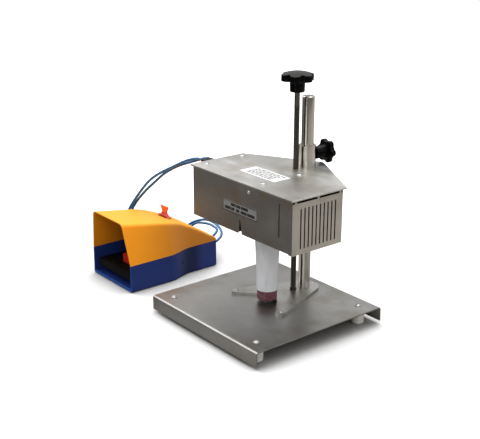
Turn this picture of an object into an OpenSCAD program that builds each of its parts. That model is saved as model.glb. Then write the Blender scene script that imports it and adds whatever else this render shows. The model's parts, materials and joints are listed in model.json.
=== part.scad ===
// Bench tube sealer: an impulse sealing head on a height-adjustable column, with a
// guarded pneumatic foot valve. Millimetres, +Z up, the bench top is z = 0.

/* [Base] */
// Width of the steel base plate
base_w = 336; // [330:1:345]
// Depth of the base plate
base_d = 329; // [325:1:340]
// Height of the base plate's top face above the bench
base_top = 37; // [35:0.5:40]
// Depth of the folded front and rear flanges
flange_h = 30; // [20:1:32]

/* [Column] */
// Diameter of the column
column_d = 25; // [24:0.5:26]
// Height of the column's top above the bench
column_top = 451; // [430:1:455]
// Diameter of the height screw
screw_d = 10.8; // [9:0.1:12]
// Diameter of the lobed height knob
knob_d = 67; // [56:1:70]

/* [Head] */
// Height of the head's top face above the bench
head_top = 307; // [305:1:320]
// Width of the head's body
head_w = 304; // [300:1:310]
// Number of cooling slots in the right side panel
slot_count = 10; // [6:1:11]

/* [Sealing jaws] */
// Travel of each jaw from open to closed
jaw_travel = 20.2; // [15:0.1:20.2]
// Travel of the trimming blade
blade_travel = 8; // [4:1:9]

/* [Foot valve] */
// Width of the foot valve at its front opening
pedal_w = 157; // [150:1:165]
// Width of the foot valve at its rear wall
pedal_rear_w = 125; // [120:1:130]
// Length of the foot valve along the floor
pedal_len = 245; // [240:1:255]
// Height of the blue base of the foot valve
pedal_h = 62.5; // [60:0.5:65]

/* [Hoses] */
// Outer diameter of the air hoses
hose_d = 6; // [4:1:6]

/* [Hidden] */
$fn = 64;

// ---- Machine frame: x = 0 is the plane of symmetry, y = 0 the column's axis ----
base_front = -270.5;
base_rear = base_front + base_d;
sheet = 2.5;
bend_r = 6;
foot_x = 133.3;
foot_y = [-240.8, 27.7];
foot_r = 14;
foot_h = base_top - sheet;

fix_t = 6;
fix_top = base_top + fix_t;
fix_screw_at = [[-70.5, -123.5], [70.5, -123.5], [0, 23.5]];
fix_side = [[24, -96], [61.5, -131], [64.5, -135], [74, -136], [78.5, -131], [78.5, -123],
    [76, -115], [27, 17], [13, 31]];

column_r = column_d / 2;
screw_r = screw_d / 2;
screw_y = -30.5;
bush_h = 4;
knob_base = 463;
knob_h = 40.5;
knob_dome = 6.5;
knob_lobe_r = 12.3;
rod_top_r = screw_r - 0.2;
running = 0.05;

// Clamp knob: its axis points to the rear, turned a little to the right
clamp_turn = 3;
clamp_z = 330.7;
clamp_reach = 45.6;
star_t = 11;
star_core = 20.5;
lobe_at = 18;
lobe_r = 7.2;

// Tube and its nest
tube_y = -102.1;
tube_r = 22.3;
cap_r = 20.5;
nest_r = 17;
nest_h = fix_t + 0.5;
cap_top = 65;
tube_top = 250;
tube_flat_z = 221;
tube_half_t = 0.6;

// ---- Head ----
plate_t = 3;
lid_over = 4.4;
skin = 1.5;
body_x = head_w / 2;
body_front = -174;
body_side_rear = -46.5;
body_bottom = 197;
front_bottom = 199.5;
body_top = head_top - plate_t;
side_top = head_top - 9;
rear_slope = 0.55;
rear_turn = atan(rear_slope);
apex_y = body_side_rear + body_x * rear_slope;
lid_x = body_x + lid_over;
lid_front = body_front - lid_over;
lid_side_rear = -41;
lid_screw_x = [-138.5, 41.3];
lid_screw_y = [-150.3, -57.2];
sleeve_r = 17.4;
sleeve_top = 351;
sleeve_bottom = 215;
slot_w = 3.2;
slot_pitch = 9.7;
slot_front = -152.5;
slot_z = [207.5, 286.5];
floor_z = 201;

jaw_z = 232;
jaw_h = 22;
jaw_t = 12;
jaw_len = 116;
pad_half = 38.4;
jaw_face = 22.6;
pad_t = 1;
ribbon_t = 0.3;
rod_r = 6;
cyl_side = 50;
cyl_len = 48;
piston_r = 6;
cheek_t = 12;
floor_top = floor_z + skin;
left_cyl_front = lid_screw_x[0] + cheek_t / 2 + cyl_len;
right_cyl_front = lid_screw_x[1] + cheek_t / 2;
blade_z = jaw_z + jaw_h / 2 + 0.5;
inlet_r = 4.05;
inlet_x = 62;
inlet_z = 246;

// ---- Foot valve, in its own frame: x = 0 its middle, y = 0 its rear wall ----
pedal_x = -354;
pedal_y = -10;
wall = 3;
cover_wall = 2.6;
sill_h = 8;
jog = [-140, -72];
cover_lean = 8;
cover_draft = 0.208;
cover_front_z = 158;
cover_slope = 0.18;
cover_curve = 0.00181;
cover_curve_from = -155;
pivot = [-100, 34];
plunger_y = -134;
latch_y = -200;
lever_y = -100;
lever_pivot_z = 115;
port_x = [4, 29];
valve_port_x = [-10, 12];
port_z = 42;
port_len = 16;

// ---- Air hoses: points chosen along each one's run, in the machine frame ----
hose_r = hose_d / 2;
ring_gap = 3.2 * hose_d;
gland_x = -body_x - 52;
gland_y = [-112, -98];
gland_z = 293.5;
port_at = [for (x = port_x) [pedal_x + x, pedal_y + port_len]];
route_a = [
    [gland_x - 0.6, gland_y[0], gland_z], [-214, -112, 293.5], [-232, -113.5, 290],
    [-258, -118, 280], [-296, -125.5, 259.5], [-334, -134, 238], [-366, -141.5, 214],
    [-398, -149, 178], [-428, -156, 137], [-447, -162, 96], [-456, -161, 58],
    [-458, -149, 26], [-458, -126, 7.5], [-460, -98, 3.4], [-462, -66, 3.3],
    [-464, -36, 3.4], [-464, -10, 7.5], [-459, 10, 22], [-446, 25, 43], [-430, 34, 57],
    [-410, 39, 62], [-386, 42, 64.5], [-365, 41, 63.5], [-350, 37, 62.5], [-342.5, 28, 58],
    [-343.5, 16, 49], [port_at[0][0], port_at[0][1], port_z]
];
route_b = [
    [gland_x - 0.6, gland_y[1], gland_z], [-214, -98, 292.5], [-231, -100, 286],
    [-256, -104.5, 276], [-292, -112.5, 260.5], [-328, -122, 238.5], [-358, -130, 212.5],
    [-395, -139, 177.5], [-430, -146, 136], [-452, -149, 88], [-465, -144, 49],
    [-470, -128, 21], [-472, -106, 6.5], [-474, -80, 3.3], [-475, -50, 3.4],
    [-477, -24, 4.5], [-476, 0, 14], [-470, 21, 31], [-457, 36, 48], [-436, 45.5, 60],
    [-411, 50, 67.5], [-386, 50.5, 69], [-358, 47.5, 65.5], [-335, 39, 60],
    [-321.5, 27, 55], [-319.5, 15, 48.5], [port_at[1][0], port_at[1][1], port_z]
];

// ---- The part's origin: the middle of its box, without the hoses, on the bench ----
star_reach = clamp_reach + star_t;
knob_rear = star_reach * cos(clamp_turn)
    + (lobe_at + lobe_r) * sin(clamp_turn);
mach_x = -(pedal_x - pedal_w / 2 + base_w / 2) / 2;
mach_y = -(base_front + max(base_rear, knob_rear)) / 2;

module machine() translate([mach_x, mach_y, 0]) children();

module pedal() translate([mach_x + pedal_x, mach_y + pedal_y, 0]) children();

// The frame of a rear wall: x along the wall, y out of it, z up; side is -1 or 1
module rear_wall(side) translate([0, apex_y, 0]) rotate([0, 0, -side * rear_turn])
    children();

module mirror_pair() {
    children();
    mirror([1, 0, 0]) children();
}

module rod_x(r, x0, x1) translate([x0, 0, 0]) rotate([0, 90, 0])
    cylinder(r = r, h = x1 - x0);

module rod_y(r, y0, y1) translate([0, y1, 0]) rotate([90, 0, 0])
    cylinder(r = r, h = y1 - y0);

// A box from one corner to the opposite one
module box(a, b) translate(a) cube(b - a);

// A button-head screw with a hexagon recess: head above z = 0, shank below
module button_screw(shank_r, head_r, head_h, length, washer_r = 0, washer_h = 1) {
    lift = washer_r > 0 ? washer_h : 0;
    difference() {
        union() {
            if (washer_r > 0) cylinder(r = washer_r, h = washer_h);
            translate([0, 0, lift]) rotate_extrude() intersection() {
                translate([0, head_h - dome_r(head_r, head_h)])
                    circle(r = dome_r(head_r, head_h));
                square([head_r, head_h]);
            }
            translate([0, 0, -length]) cylinder(r = shank_r, h = length + lift);
        }
        translate([0, 0, lift + head_h * 0.35])
            cylinder(r = head_r * 0.5, h = head_h, $fn = 6);
    }
}

function dome_r(r, h) = (r * r + h * h) / (2 * h);

// ---- Base ----
module base_plate() machine() color("#8f8b85") {
    y0 = base_front;
    y1 = base_rear;
    difference() {
        rotate([90, 0, 90]) translate([0, 0, -base_w / 2]) linear_extrude(base_w)
            base_section(y0, y1);
        for (x = [-foot_x, foot_x], y = foot_y) translate([x, y, foot_h - 1])
            cylinder(r = 3.2, h = sheet + 2);
        for (p = fix_screw_at) translate([p[0], p[1], foot_h - 1])
            cylinder(r = 2.6, h = sheet + 2);
        translate([0, 0, foot_h - 1]) cylinder(r = 6, h = sheet + 2);
    }
}

// Flat top with a quarter-round bend and a flange at each end, as one outline
module base_section(y0, y1) {
    inner_r = bend_r - sheet;
    low = base_top - flange_h;
    out = [for (a = [0:10:90]) [y1 - bend_r + bend_r * sin(a), base_top - bend_r + bend_r * cos(a)]];
    in = [for (a = [90:-10:0]) [y1 - bend_r + inner_r * sin(a), base_top - bend_r + inner_r * cos(a)]];
    in2 = [for (a = [0:10:90]) [y0 + bend_r - inner_r * sin(a), base_top - bend_r + inner_r * cos(a)]];
    out2 = [for (a = [90:-10:0]) [y0 + bend_r - bend_r * sin(a), base_top - bend_r + bend_r * cos(a)]];
    polygon(concat(out, [[y1, low], [y1 - sheet, low]], in, in2,
        [[y0 + sheet, low], [y0, low]], out2));
}

module rubber_feet() machine() color("#e4e0d6")
    for (x = [-foot_x, foot_x], y = foot_y) translate([x, y, 0]) difference() {
        rotate_extrude() polygon([[0, 0], [foot_r - 2.5, 0], [foot_r - 1, 2], [foot_r, foot_h - 3],
            [foot_r, foot_h], [0, foot_h]]);
        translate([0, 0, foot_h - 18]) cylinder(r = 3.05, h = 20);
    }

module base_screws() machine() color("#c9c6bf")
    for (x = [-foot_x, foot_x], y = foot_y) translate([x, y, base_top])
        button_screw(3, 5.4, 3.2, 16, 7.2, 1.2);

// Arrow-shaped plate that carries the column and spans the tube's nest
module fixture_plate() machine() color("#9b9892") translate([0, 0, base_top]) difference() {
    linear_extrude(fix_t) polygon(concat([[0, -80]], fix_side,
        [for (k = [len(fix_side) - 1:-1:0]) [-fix_side[k][0], fix_side[k][1]]]));
    for (p = fix_screw_at) translate([p[0], p[1], -1]) cylinder(r = 2.6, h = fix_t + 2);
    translate([0, 0, -1]) cylinder(r = 6, h = fix_t + 2);
    translate([0, screw_y, -1]) cylinder(r = screw_r + 1, h = fix_t + 2);
}

module fixture_screws() machine() color("#c9c6bf")
    for (p = fix_screw_at) translate([p[0], p[1], fix_top])
        button_screw(2.5, 4.6, 2.6, fix_t + sheet + 3);

module column() machine() color("#b9b6ae") difference() {
    translate([0, 0, fix_top]) rotate_extrude() polygon([[0, 0], [column_r, 0],
        [column_r, column_top - fix_top - 1.5], [column_r - 1.5, column_top - fix_top],
        [0, column_top - fix_top]]);
    translate([0, 0, fix_top - 1]) cylinder(r = 6, h = 31);
}

module column_bolt() machine() color("#8c8a85") {
    translate([0, 0, foot_h - 7.5]) cylinder(r = 10, h = 7.5, $fn = 6);
    translate([0, 0, foot_h]) cylinder(r = 5.95, h = sheet + fix_t + 26);
}

// Flanged bush in the fixture plate, where the height screw's end turns
module thrust_bush() machine() color("#3a3936") translate([0, screw_y, base_top])
    difference() {
        union() {
            cylinder(r = screw_r + 0.95, h = fix_t);
            translate([0, 0, fix_t]) cylinder(r = screw_r + 1.6, h = bush_h);
        }
        translate([0, 0, 2]) cylinder(r = 4 + running, h = fix_t + bush_h);
    }

module leadscrew() machine() color("#3b3a38") translate([0, screw_y, 0]) {
    translate([0, 0, base_top + 2.2]) cylinder(r = 4, h = fix_t + bush_h - 2);
    translate([0, 0, fix_top + bush_h + 0.2])
        cylinder(r = screw_r, h = 434 - fix_top - bush_h - 0.2);
    translate([0, 0, 434]) cylinder(r = screw_r + 0.2, h = 2);
    translate([0, 0, 436]) cylinder(r = rod_top_r, h = knob_base + 12 - 436);
}

// Six-lobed hand knob with a low domed top and a long hub
module height_knob() machine() color("#161616") translate([0, screw_y, knob_base]) {
    lobe_ring = knob_d / 2 - knob_lobe_r;
    difference() {
        union() {
            cylinder(r = 15, h = 24);
            translate([0, 0, 22]) intersection() {
                linear_extrude(knob_h - 22) {
                    circle(r = lobe_ring + 3);
                    for (a = [9:60:309]) rotate(a) translate([lobe_ring, 0])
                        circle(r = knob_lobe_r);
                }
                translate([0, 0, knob_h - 22 - dome_r(knob_d / 2, knob_dome)])
                    sphere(r = dome_r(knob_d / 2, knob_dome), $fn = 96);
            }
        }
        translate([0, 0, -1]) cylinder(r = rod_top_r, h = 13);
    }
}

// ---- Tube and nest ----
module tube_nest() machine() color("#1c1b1b") translate([0, tube_y, base_top])
    cylinder(r = nest_r, h = nest_h);

module tube_cap() machine() color("#5d1f2e") translate([0, tube_y, base_top + nest_h])
    difference() {
        cylinder(r = cap_r, h = cap_top - base_top - nest_h);
        translate([0, 0, 2]) cylinder(r = cap_r - 2.5, h = cap_top);
    }

// Half thickness of the tube at height z: round below, pinched flat between the jaws
function pinch(z) = let (t = (z - cap_top) / (tube_flat_z - cap_top))
    t >= 1 ? tube_half_t : tube_half_t + (tube_r - tube_half_t) * (1 - pow(t, 4));

// Half width that keeps the tube's girth while it is pinched to a half thickness of a
function spread(a) = let (d = tube_r - a) tube_r + d - (2 - PI / 2) * d * d / tube_r;

module sample_tube() machine() color("#f2f2f2") translate([0, tube_y, 0]) {
    zs = [for (k = [0:13]) cap_top + (tube_flat_z - cap_top) * k / 13, tube_top];
    sides = 40;
    rings = [for (z = zs) [for (k = [0:sides - 1]) let (a = 360 * k / sides)
        [pinch(z) * cos(a), spread(pinch(z)) * sin(a), z]]];
    loft(rings);
}

// A closed solid through equal rings of points, listed from the bottom up
module loft(rings) {
    n = len(rings[0]);
    m = len(rings);
    polyhedron(
        points = [for (r = rings) each r],
        faces = concat(
            [[for (k = [0:n - 1]) k]],
            [for (j = [0:m - 2], k = [0:n - 1]) each [
                [j * n + k, (j + 1) * n + k, j * n + (k + 1) % n],
                [j * n + (k + 1) % n, (j + 1) * n + k, (j + 1) * n + (k + 1) % n]]],
            [[for (k = [n - 1:-1:0]) (m - 1) * n + k]]));
}

// ---- Head shell ----
module head_outline(x, front, side_rear) polygon(concat(
    [[-x, front], [x, front], [x, side_rear]],
    [for (t = [7, 3.5, 0, -3.5, -7]) [t, side_rear + (x - 7) * rear_slope + (7 - abs(t)) * 0.25]],
    [[-x, side_rear]]));

module top_plate() machine() color("#a9a7a1") translate([0, 0, body_top]) difference() {
    linear_extrude(plate_t) head_outline(lid_x, lid_front, lid_side_rear);
    translate([0, 0, -1]) cylinder(r = sleeve_r, h = plate_t + 2);
    translate([0, screw_y, -1]) cylinder(r = screw_r + 0.6, h = plate_t + 2);
    for (x = lid_screw_x, y = lid_screw_y) translate([x, y, -1])
        cylinder(r = 3.2, h = plate_t + 2);
}

module head_screws() machine() color("#d2cfc8") {
    for (x = lid_screw_x, y = lid_screw_y) translate([x, y, head_top])
        button_screw(3, 5.6, 3.1, 16);
    translate([26.6, body_front, 291]) rotate([90, 0, 0]) button_screw(2, 4, 2.4, 5);
}

// Front face and left side, one folded sheet
module front_panel() machine() color("#6f6c66") difference() {
    union() {
        box([-body_x, body_front, front_bottom], [body_x - skin - 0.2, body_front + skin, body_top]);
        box([-body_x, body_front, front_bottom], [-body_x + skin, body_side_rear, body_top]);
    }
    translate([0, body_front - 1, 0]) rotate([-90, 0, 0]) linear_extrude(skin + 2)
        polygon([[-6.25, -front_bottom + 1], [6.25, -front_bottom + 1], [5, -front_bottom - 4],
            [0.9, -front_bottom - 29], [0, -front_bottom - 31], [-0.9, -front_bottom - 29],
            [-5, -front_bottom - 4]]);
    box([114, body_front - 1, 226], [117, body_front + skin + 1, 291]);
    translate([26.6, body_front - 1, 291]) rod_y(2.1, 0, skin + 2);
    for (y = gland_y) translate([0, y, gland_z]) rod_x(4.5, -body_x - 1, -body_x + skin + 1);
}

// Slotted cooling panel on the right side, hung by three tabs under the top plate
module side_panel() machine() color("#a39a8c") difference() {
    union() {
        box([body_x - skin, body_front, body_bottom], [body_x, body_side_rear, side_top]);
        for (y = [-168, -112, -56]) box([body_x - skin, y, side_top - 1],
            [body_x, y + 5, body_top]);
        box([body_x - 12, body_front + skin + 0.2, body_bottom],
            [body_x, body_side_rear, body_bottom + skin]);
    }
    for (k = [0:slot_count - 1]) let (y = slot_front + k * slot_pitch)
        box([body_x - skin - 1, y - slot_w / 2, slot_z[0]], [body_x + 1, y + slot_w / 2, slot_z[1]]);
}

// The two rear walls, folded at the apex
module rear_cover() machine() color("#98948c") difference() {
    intersection() {
        for (s = [-1, 1]) rear_wall(s) box([-200, -skin, body_bottom], [200, 0, body_top]);
        translate([0, 0, body_bottom]) linear_extrude(body_top - body_bottom) polygon([
            [-body_x, body_side_rear + 0.2], [body_x, body_side_rear + 0.2],
            [body_x, body_side_rear + 1], [0, apex_y + 0.6], [-body_x, body_side_rear + 1]]);
    }
    rear_wall(-1) {
        box([-108, -skin - 1, 222], [-80, 1, 270]);
        box([-62, -skin - 1, 236], [-42, 1, 250]);
        translate([-24, 0, 246]) rod_y(3.6, -skin - 1, 1);
    }
    rear_wall(1) translate([inlet_x, 0, inlet_z]) rod_y(6.5, -skin - 1, 1);
}

// Floor of the head, open under the jaws for the tube
module bottom_plate() machine() color("#8b877f") translate([0, 0, floor_z]) difference() {
    linear_extrude(skin) polygon([[-body_x + 2, body_front + 2], [body_x - 2, body_front + 2],
        [body_x - 2, body_side_rear - 1], [0, apex_y - 4], [-body_x + 2, body_side_rear - 1]]);
    box([-24, tube_y - 39, -1], [24, tube_y + 39, skin + 1]);
    translate([-6.25, body_front, -1]) cube([12.5, 40, skin + 2]);
    translate([0, 0, -1]) cylinder(r = column_r + 1, h = skin + 2);
    translate([0, screw_y, -1]) cylinder(r = screw_r + 1, h = skin + 2);
}

// Clamp boss above the top plate and guide sleeve below it
module column_sleeve() machine() color("#b7b3aa") difference() {
    translate([0, 0, sleeve_bottom]) cylinder(r = sleeve_r, h = sleeve_top - sleeve_bottom);
    translate([0, 0, sleeve_bottom - 1])
        cylinder(r = column_r + running, h = sleeve_top - sleeve_bottom + 2);
    translate([0, 0, clamp_z]) rotate([0, 0, -clamp_turn]) rod_y(4 + running, 0, 30);
}

module screw_nut() machine() color("#b08d4a") translate([0, screw_y, body_top - 22])
    difference() {
        union() {
            cylinder(r = 8, h = 22);
            translate([0, 0, 18]) cylinder(r = 12, h = 4);
        }
        translate([0, 0, -1]) cylinder(r = screw_r + running, h = 24);
    }

// Blank rating plate with a raised border
module front_label() machine() color("#a8a6a0") translate([-53, body_front - 0.6, 238])
    difference() {
        cube([106, 0.6, 23]);
        translate([1.4, -1, 1.4]) cube([103.2, 1.2, 20.2]);
    }

module top_label() machine() color("#f0efec")
    box([-59, -128, head_top], [47, -85, head_top + 0.3]);

// ---- Jaw drive inside the head ----
module jaw_cheeks() machine() color("#8f9194") for (x = lid_screw_x) difference() {
    box([x - cheek_t / 2, -160, floor_top], [x + cheek_t / 2, -48, body_top]);
    for (y = lid_screw_y) {
        translate([x - cheek_t, y, jaw_z]) rod_x(rod_r, 0, 2 * cheek_t);
        translate([x, y, body_top - 14]) cylinder(r = 3, h = 15);
    }
    translate([x - cheek_t, tube_y, jaw_z]) rod_x(piston_r + 1, 0, 2 * cheek_t);
}

module guide_rods() machine() color("#c5c6c8") for (y = lid_screw_y)
    translate([0, y, jaw_z])
        rod_x(rod_r, lid_screw_x[0] - cheek_t / 2, lid_screw_x[1] + cheek_t / 2);

// Two compact cylinders, one for each jaw
module air_cylinders() machine() color("#b4b7ba") for (x = [left_cyl_front - cyl_len, right_cyl_front])
    difference() {
        box([x, tube_y - cyl_side / 2, jaw_z - cyl_side / 2],
            [x + cyl_len, tube_y + cyl_side / 2, jaw_z + cyl_side / 2]);
        translate([0, tube_y, jaw_z]) rod_x(piston_r + running,
            x == right_cyl_front ? x - 1 : x + 8, x == right_cyl_front ? x + 40 : x + 49);
        for (y = [-19, 19], z = [-19, 19]) translate([x - 1, tube_y + y, jaw_z + z])
            rod_x(2.75, 0, cyl_len + 2);
    }

// One jaw bar with its guide bores; side is -1 for the left jaw, 1 for the right
module jaw_bar(side) difference() {
    x0 = side > 0 ? jaw_face : -jaw_face - jaw_t;
    box([x0, tube_y - jaw_len / 2, jaw_z - jaw_h / 2],
        [x0 + jaw_t, tube_y + jaw_len / 2, jaw_z + jaw_h / 2]);
    for (y = lid_screw_y) translate([x0 - 1, y, jaw_z]) rod_x(rod_r + running, 0, jaw_t + 2);
}

module right_jaw_bar() machine() color("#a5a8ab") jaw_bar(1);

module left_jaw_bar() machine() color("#a5a8ab") jaw_bar(-1);

module right_rod() machine() color("#d0d1d2") translate([0, tube_y, jaw_z])
    rod_x(piston_r, jaw_face + jaw_t, jaw_face + jaw_t + 46);

module left_rod() machine() color("#d0d1d2") translate([0, tube_y, jaw_z])
    rod_x(piston_r, left_cyl_front - 32, -jaw_face - jaw_t);

module silicone_pad(side) box(
    [side > 0 ? jaw_face - pad_t : -jaw_face, tube_y - pad_half, jaw_z - 8],
    [side > 0 ? jaw_face : -jaw_face + pad_t, tube_y + pad_half, jaw_z + 8]);

module right_pad() machine() color("#b5482f") silicone_pad(1);

module left_pad() machine() color("#b5482f") silicone_pad(-1);

module ribbon(side) box(
    [side > 0 ? jaw_face - pad_t - ribbon_t : -jaw_face + pad_t, tube_y - pad_half + 0.6, jaw_z - 2.5],
    [side > 0 ? jaw_face - pad_t : -jaw_face + pad_t + ribbon_t, tube_y + pad_half - 0.6, jaw_z + 2.5]);

module right_ribbon() machine() color("#77706a") ribbon(1);

module left_ribbon() machine() color("#77706a") ribbon(-1);

// Shelf behind the left jaw with the trimming blade's small cylinder
module cutter_actuator() machine() color("#9ea1a4") {
    box([-80, tube_y - 26, jaw_z + 7.2], [-jaw_face - jaw_t, tube_y + 26, jaw_z + jaw_h / 2]);
    difference() {
        box([-80, tube_y - 11, jaw_z + jaw_h / 2], [-64, tube_y + 11, 262]);
        translate([0, tube_y, 253]) rod_x(2.5 + running, -77, -63);
    }
}

module cutter_holder() machine() color("#6c6f73") {
    box([-60, tube_y - 20, blade_z + 1.2], [-46, tube_y + 20, 258]);
    translate([0, tube_y, 253]) rod_x(2.5, -76, -60);
}

module cutter_blade() machine() color("#cfd2d4") translate([0, tube_y, blade_z])
    linear_extrude(1.2) polygon([[-60, -20], [-46, -35], [-24.6, -35], [-24.6, 35], [-46, 35],
        [-60, 20]]);

// ---- Electrics and air inside the head ----
module transformer() machine() color("#7c5a3a") {
    box([101, -168, floor_top], [147, -98, floor_top + 58]);
    box([96.5, -156, floor_top + 10], [101, -110, floor_top + 48]);
}

module control_board() machine() color("#2f6b3a") {
    box([-92, -43, floor_top], [-38, -41.4, 268]);
    box([-92, -41.4, floor_top], [-38, -33, floor_top + 1.5]);
    box([-84, -45, 240], [-66, -43, 262]);
    box([-58, -49, 246], [-44, -43, 262]);
}

module air_valve() machine() color("#3d4044") {
    box([58, -45, floor_top], [92, -22, 238]);
    box([64, -42, 238], [80, -26, 262]);
}

// Mains inlet on the rear left wall
module power_inlet() machine() color("#1b1b1c") rear_wall(-1) difference() {
    union() {
        box([-113, 0, 217], [-75, 2.5, 275]);
        box([-107.8, -skin - 14, 222.2], [-80.2, 0, 269.8]);
    }
    box([-104, -12, 226], [-84, 3, 252]);
    box([-103, -8, 258], [-85, 3, 266]);
    for (z = [221, 271]) translate([-94, 0, z]) rod_y(1.6, -1, 3);
}

module power_switch() machine() color("#202020") rear_wall(-1)
    box([-61.2, -6, 237], [-42.8, 3, 249]);

module time_dial() machine() color("#191919") rear_wall(-1) translate([-24, 0, 246]) {
    rod_y(3.5, -10, 2);
    difference() {
        rod_y(11, 0.4, 14);
        box([-0.8, 12, 3], [0.8, 15, 12]);
    }
}

// Two bulkhead glands with long bend sleeves on the left side, and the push-in
// fitting for the air supply on the rear right wall
module air_fittings() machine() color("#151515") {
    for (y = gland_y) translate([0, y, gland_z]) difference() {
        union() {
            rod_x(4.4, -body_x - 1, -body_x + 6);
            rod_x(6.5, -body_x - 12, -body_x);
            rotate([0, -90, 0]) translate([0, 0, body_x + 12])
                rotate_extrude() polygon([[0, 0], [5.5, 0], [4.2, 40], [0, 40]]);
        }
        rod_x(2.2, -body_x - 30, -body_x + 7);
    }
    rear_wall(1) translate([inlet_x, 0, inlet_z]) difference() {
        union() {
            rod_y(6.4, -12, 0);
            rod_y(9, 0, 8);
        }
        rod_y(inlet_r, -8, 9);
    }
}

// ---- Column clamp ----
module clamp_axis() translate([0, 0, clamp_z]) rotate([0, 0, -clamp_turn]) children();

module clamp_screw() machine() color("#b9b6ae") clamp_axis() rod_y(4, 13, clamp_reach + 4);

// Six-lobed star knob with a stout hub
module star_knob() machine() color("#131313") clamp_axis() difference() {
    union() {
        rod_y(12.8, 19.5, clamp_reach + 3);
        translate([0, star_reach, 0]) rotate([90, 0, 0]) linear_extrude(star_t) {
            circle(r = star_core);
            for (a = [-5:60:295]) rotate(a) translate([lobe_at, 0]) circle(r = lobe_r);
        }
    }
    rod_y(4, 19, clamp_reach + 4);
}

// ---- Foot valve ----
// Half width of the foot valve at y: wide at the front, then an S-shaped jog inwards
function half_w(y) = let (t = max(0, min(1, (y - jog[0]) / (jog[1] - jog[0]))))
    pedal_w / 2 - (pedal_w - pedal_rear_w) / 2 * (1 - cos(180 * t)) / 2;

jog_ys = [for (k = [0:10]) jog[1] + (jog[0] - jog[1]) * k / 10];

module pedal_outline(inset) polygon(concat(
    [[half_w(0) - inset, -inset]],
    [for (y = jog_ys) [half_w(y) - inset, y]],
    [[pedal_w / 2 - inset, -pedal_len + inset], [-pedal_w / 2 + inset, -pedal_len + inset]],
    [for (k = [10:-1:0]) [-half_w(jog_ys[k]) + inset, jog_ys[k]]],
    [[-half_w(0) + inset, -inset]]));

module pedal_base() pedal() color("#26307a") difference() {
    translate([0, 0, 2]) linear_extrude(pedal_h - 2) pedal_outline(0);
    translate([0, 0, wall + 2]) linear_extrude(pedal_h) pedal_outline(wall);
    box([-pedal_w / 2 + wall, -pedal_len - 1, sill_h], [pedal_w / 2 - wall, -pedal_len + wall + 1,
        pedal_h + 1]);
    translate([0, pivot[0], pivot[1]]) rod_x(3, -90, 90);
    for (x = port_x) translate([x, 0, port_z]) rod_y(5, -wall - 1, 1);
}

// Height of the cover's ridge at y
function ridge(y) = cover_front_z - cover_slope * (y + pedal_len + cover_lean)
    - cover_curve * pow(max(0, y - cover_curve_from), 2);

// One arch of the cover: an upright section at y, inset by t from the outer skin
function arch(y, t, rear_shut) =
    let (
        z1 = rear_shut ? pedal_h + 0.2 : max(pedal_h + 0.2, ridge(y) - t),
        r = max(0.5, min(9, (z1 - pedal_h) * 0.45) - (t > 0 ? 2 : 0)),
        w = half_w(y) - t,
        w1 = w - cover_draft * (z1 - pedal_h),
        steps = 6,
        right = concat([[w, pedal_h]],
            [for (k = [0:steps]) let (a = 90 * k / steps)
                [w1 - r + r * cos(a) + cover_draft * (r - r * sin(a)), z1 - r + r * sin(a)]]))
    concat(right, [for (k = [len(right) - 1:-1:0]) [-right[k][0], right[k][1]]]);

module pedal_cover() pedal() color("#f6a724") difference() {
    union() {
        stations = [-pedal_len, -235, -215, -190, -165, -145, -130, -115, -100, -85, -70, -55,
            -40, -26, -14, -8, 0];
        n = len(arch(0, 0, false));
        m = len(stations);
        points = [for (j = [0:m - 1], part = [0, 1], p = arch(stations[j],
            part * cover_wall, part == 1 && j >= m - 2))
            [p[0], stations[j] - cover_lean * (p[1] - pedal_h)
                / (cover_front_z - pedal_h) * pow(-stations[j] / pedal_len, 2), p[1]]];
        polyhedron(points, arch_faces(n, m));
        for (x = [-20.5, 16]) box([x, lever_y - 5, lever_pivot_z - 6],
            [x + 4.5, lever_y + 5, lever_pivot_z + 8.5]);
    }
    box([-15.5, lever_y - 9, 100], [15.5, lever_y + 11, 160]);
    translate([0, lever_y, lever_pivot_z]) rod_x(3 + running, -19, 19);
}

// Faces of a shell of m stations, each an outer arch of n points then an inner one
function arch_faces(n, m) = let (s = 2 * n) concat(
    [for (j = [0:m - 2], k = [0:n - 2]) each quad(j * s + k, j * s + k + 1,
        (j + 1) * s + k + 1, (j + 1) * s + k)],
    [for (j = [0:m - 2], k = [0:n - 2]) each quad(j * s + n + k + 1, j * s + n + k,
        (j + 1) * s + n + k, (j + 1) * s + n + k + 1)],
    [for (j = [0:m - 2]) each concat(
        quad(j * s + n, j * s, (j + 1) * s, (j + 1) * s + n),
        quad(j * s + n - 1, j * s + s - 1, (j + 1) * s + s - 1, (j + 1) * s + n - 1))],
    [for (k = [0:n - 2]) each quad(k, n + k, n + k + 1, k + 1)],
    [for (k = [0:n - 2]) each let (e = (m - 1) * s) quad(e + k + 1, e + n + k + 1, e + n + k, e + k)]);

function quad(a, b, c, d) = [[a, b, c], [a, c, d]];

module pedal_pads() pedal() color("#1e1e1e")
    for (p = [[-60, -225], [60, -225], [-48, -18], [48, -18]]) translate([p[0], p[1], 0])
        cylinder(r = 9, h = 2);

// Short tubes from the valve to the rear fittings
module port_tubes() pedal() color("#2b6ca3") for (i = [0, 1])
    let (x0 = valve_port_x[i], x1 = port_x[i], mid = (x0 + x1) / 2)
    sweep(smooth([[x0, -106, 14], [x0, -92, 14], [x0, -76, 18], [mid, -52, 30], [x1, -30, 41],
        [x1, -20, port_z], [x1, -10, port_z]], 10), 2.5, 8);

module treadle_pin() pedal() color("#c9c9c9") translate([0, pivot[0], pivot[1]])
    rod_x(3, -half_w(pivot[0]) + 0.4, half_w(pivot[0]) - 0.4);

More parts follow.
